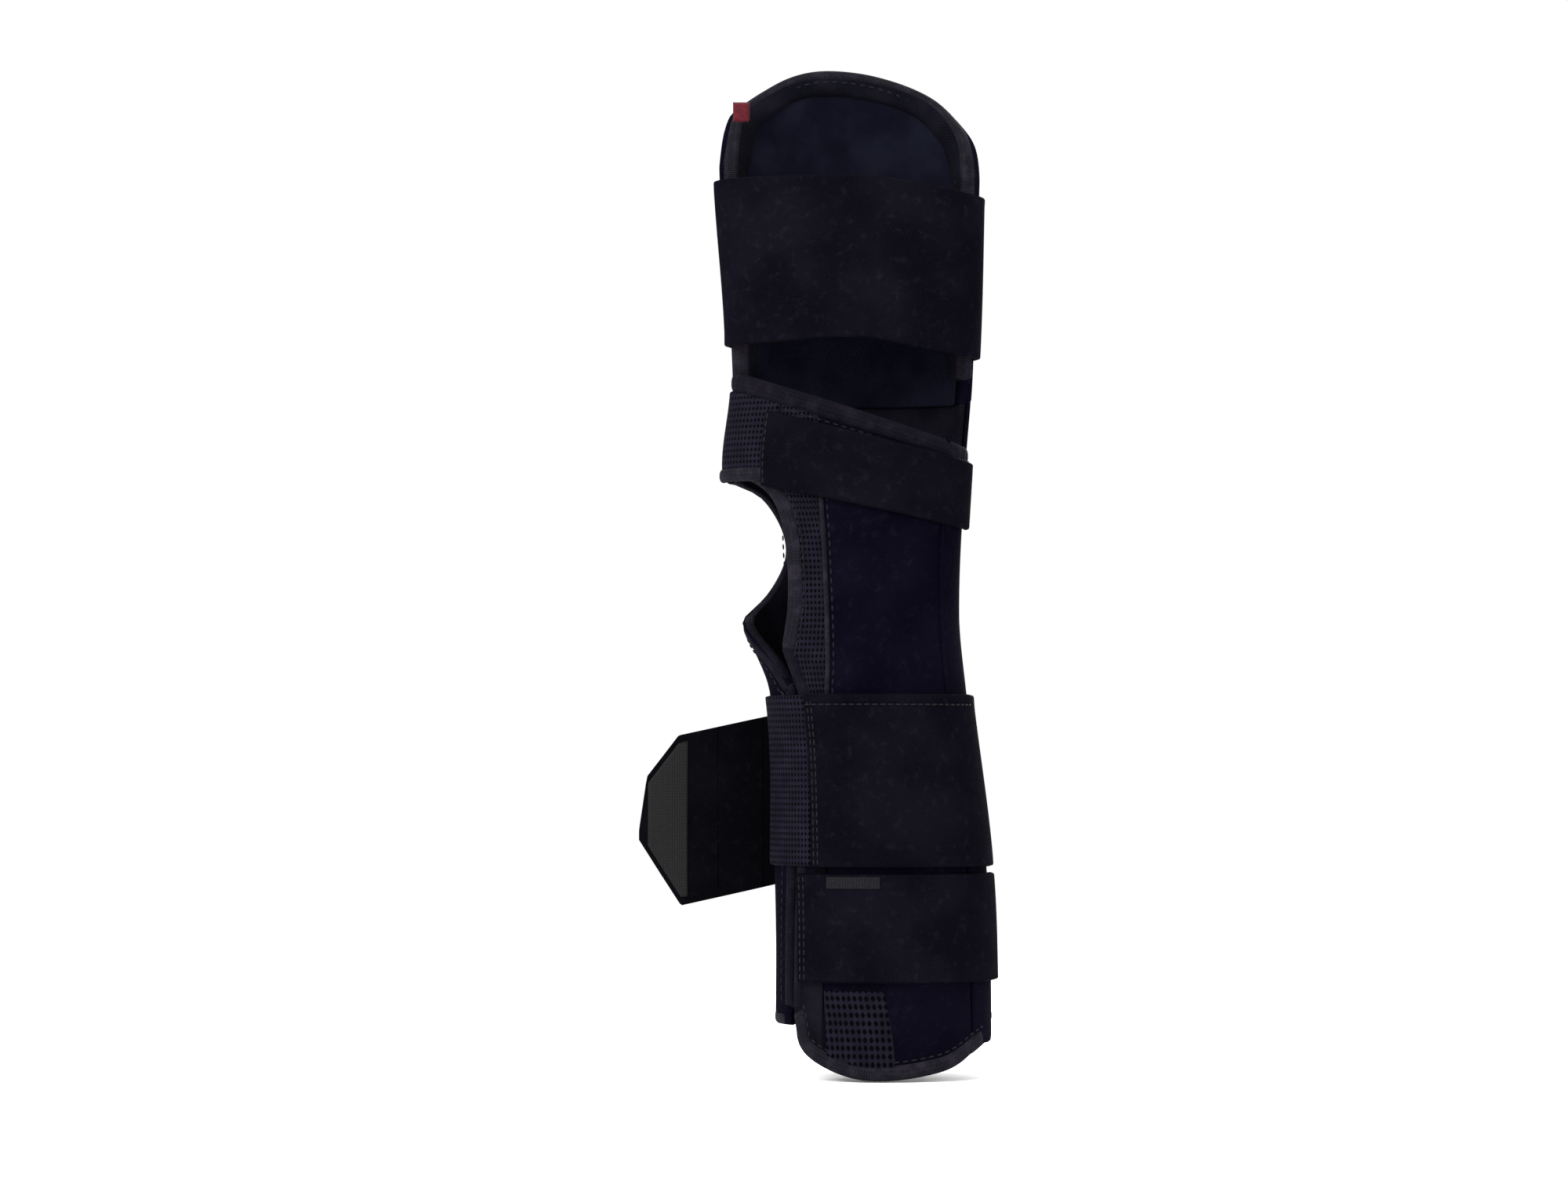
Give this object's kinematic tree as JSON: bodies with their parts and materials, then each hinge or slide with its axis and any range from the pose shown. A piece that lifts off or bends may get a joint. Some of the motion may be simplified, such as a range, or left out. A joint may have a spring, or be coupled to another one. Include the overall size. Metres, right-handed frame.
{
  "type": "wrist splint",
  "caption": "Resting wrist and finger splint for the right hand: padded palmar gutter with dished hand tray, hinged dorsal flap with thumb opening, and hook-and-loop straps.",
  "frame": {"origin": "centre of the forearm channel just inside the cuff's mouth, on the forearm's axis", "axes": "+Z from the forearm to the fingertips, +X towards the little finger, -X towards the thumb, -Y out of the back of the hand, +Y out of the palm"},
  "size_m": [0.1243, 0.0659, 0.3463],
  "materials": {
    "padded_lining": "soft brushed lining laminated on thin foam",
    "loop_fabric": "napped loop fabric, matt",
    "smooth_lining": "smooth matt lining",
    "spacer_mesh": "perforated spacer mesh",
    "binding_tape": "ribbed edge binding tape",
    "strap_webbing": "napped strap fabric, matt",
    "hook_tape": "moulded nylon hooks",
    "stitching": "polyester thread",
    "red_tape": "plain woven tape",
    "aluminium_plate": "soft rolled sheet, rounded edges"
  },
  "bodies": {
    "palmar_splint": {"palmar_gutter_lining": "padded_lining", "palmar_cover": "loop_fabric", "palmar_edge_binding": "binding_tape", "palmar_plate": "aluminium_plate", "tray_pad": "padded_lining", "tray_back_cover": "loop_fabric", "tray_rim_pad": "spacer_mesh", "tray_liner": "smooth_lining", "tray_rim_binding": "binding_tape", "edge_tab": "red_tape", "wide_strap_palmar": "strap_webbing", "finger_strap_anchor": "strap_webbing"},
    "dorsal_flap": {"dorsal_lining": "padded_lining", "cuff_binding": "binding_tape", "distal_binding": "binding_tape", "thumb_binding": "binding_tape", "flap_edge_binding": "binding_tape", "dorsal_panel": "loop_fabric", "radial_mesh_strip": "spacer_mesh", "web_panel": "spacer_mesh", "ulnar_side_panel": "spacer_mesh", "cuff_mesh_window": "spacer_mesh", "radial_piping": "binding_tape", "ulnar_piping": "binding_tape", "wide_strap_dorsal": "strap_webbing", "wide_strap_mesh_end": "spacer_mesh", "narrow_strap_anchor": "strap_webbing", "palm_strap_anchor": "spacer_mesh"},
    "palm_strap": {"palm_strap": "strap_webbing", "palm_strap_hook": "hook_tape"},
    "narrow_strap": {"narrow_strap": "strap_webbing", "narrow_strap_hook": "hook_tape", "narrow_strap_tack": "stitching"},
    "finger_strap": {"finger_strap": "strap_webbing", "finger_strap_hook": "hook_tape"},
    "tail_root": {"strap_tail_root": "strap_webbing"},
    "tail_middle": {"strap_tail_middle": "strap_webbing"},
    "tail_tip": {"strap_tail_tip": "strap_webbing", "tail_hook_patch": "hook_tape"}
  },
  "joints": [
    {"name": "flap_open", "type": "hinge", "parent": "palmar_splint", "child": "dorsal_flap", "pos_m": [0.04033, 0, 0.08], "axis": [0, 0, 1], "range_deg": [0, 95]},
    {"name": "palm_strap_open", "type": "hinge", "parent": "dorsal_flap", "child": "palm_strap", "pos_m": [-0.03564, -0.02368, 0.20125], "axis": [0, -0.087, -0.9962], "range_deg": [0, 120]},
    {"name": "narrow_strap_open", "type": "hinge", "parent": "dorsal_flap", "child": "narrow_strap", "pos_m": [-0.02221, -0.02788, 0.0405], "axis": [0, -0.0027, -1], "range_deg": [0, 120]},
    {"name": "finger_strap_open", "type": "hinge", "parent": "palmar_splint", "child": "finger_strap", "pos_m": [0.01687, -0.01731, 0.268], "axis": [0, 0.0618, 0.9981], "range_deg": [0, 110]},
    {"name": "tail_wrap", "type": "hinge", "parent": "palmar_splint", "child": "tail_root", "pos_m": [-0.03503, 0.01559, 0.084], "axis": [0, 0, 1], "range_deg": [0, 25]},
    {"name": "tail_middle_wrap", "type": "hinge", "parent": "tail_root", "child": "tail_middle", "pos_m": [-0.04849, 0.01173, 0.084], "axis": [0, 0, 1], "range_deg": [0, 41]},
    {"name": "tail_tip_wrap", "type": "hinge", "parent": "tail_middle", "child": "tail_tip", "pos_m": [-0.06675, 0.00649, 0.084], "axis": [0, 0, 1], "range_deg": [0, 38]}
  ],
  "couplings": [
    {"joint": "tail_middle_wrap", "follows": "tail_wrap", "ratio": 1.6},
    {"joint": "tail_tip_wrap", "follows": "tail_wrap", "ratio": 1.5}
  ]
}
